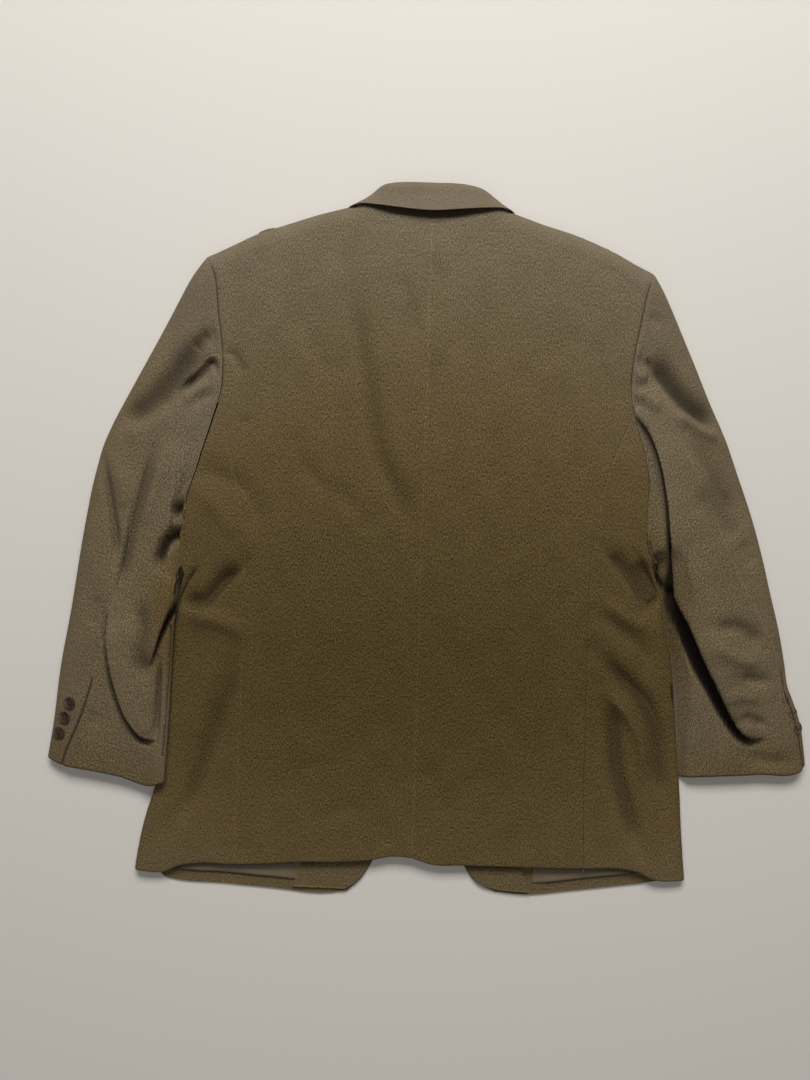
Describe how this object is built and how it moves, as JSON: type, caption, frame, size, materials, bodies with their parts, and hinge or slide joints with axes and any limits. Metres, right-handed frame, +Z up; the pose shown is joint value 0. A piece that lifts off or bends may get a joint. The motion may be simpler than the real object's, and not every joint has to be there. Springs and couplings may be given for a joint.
{
  "type": "suit jacket",
  "caption": "Wool suit jacket, buttoned and laid face down, with notched lapels, long sleeves, hip pocket flaps and sleeve buttons.",
  "frame": {"origin": "middle of the outline, on the surface that the jacket lies on", "axes": "+X across the shoulders to the wearer's right sleeve, +Y from the hem to the collar, +Z up, out of the back"},
  "size_m": [0.8834, 0.8232, 0.0467],
  "materials": {
    "wool": "matt fine olive-brown worsted wool",
    "lining": "brown satin",
    "horn": "polished dark brown, like horn"
  },
  "bodies": {
    "root": {"back_left": "wool", "back_right": "wool", "collar": "wool", "cuff_button_left_1": "horn", "cuff_button_left_2": "horn", "cuff_button_left_3": "horn", "cuff_button_right_1": "horn", "cuff_button_right_2": "horn", "cuff_button_right_3": "horn", "facing_left": "wool", "facing_right": "wool", "flap_left": "wool", "flap_right": "wool", "front_button_1": "horn", "front_button_2": "horn", "front_left": "wool", "front_right": "wool", "lapel_left": "wool", "lapel_right": "wool", "lining_left": "lining", "lining_right": "lining", "side_left": "wool", "side_right": "wool", "sleeve_top_left": "wool", "sleeve_top_right": "wool", "sleeve_under_left": "wool", "sleeve_under_right": "wool"}
  },
  "joints": []
}
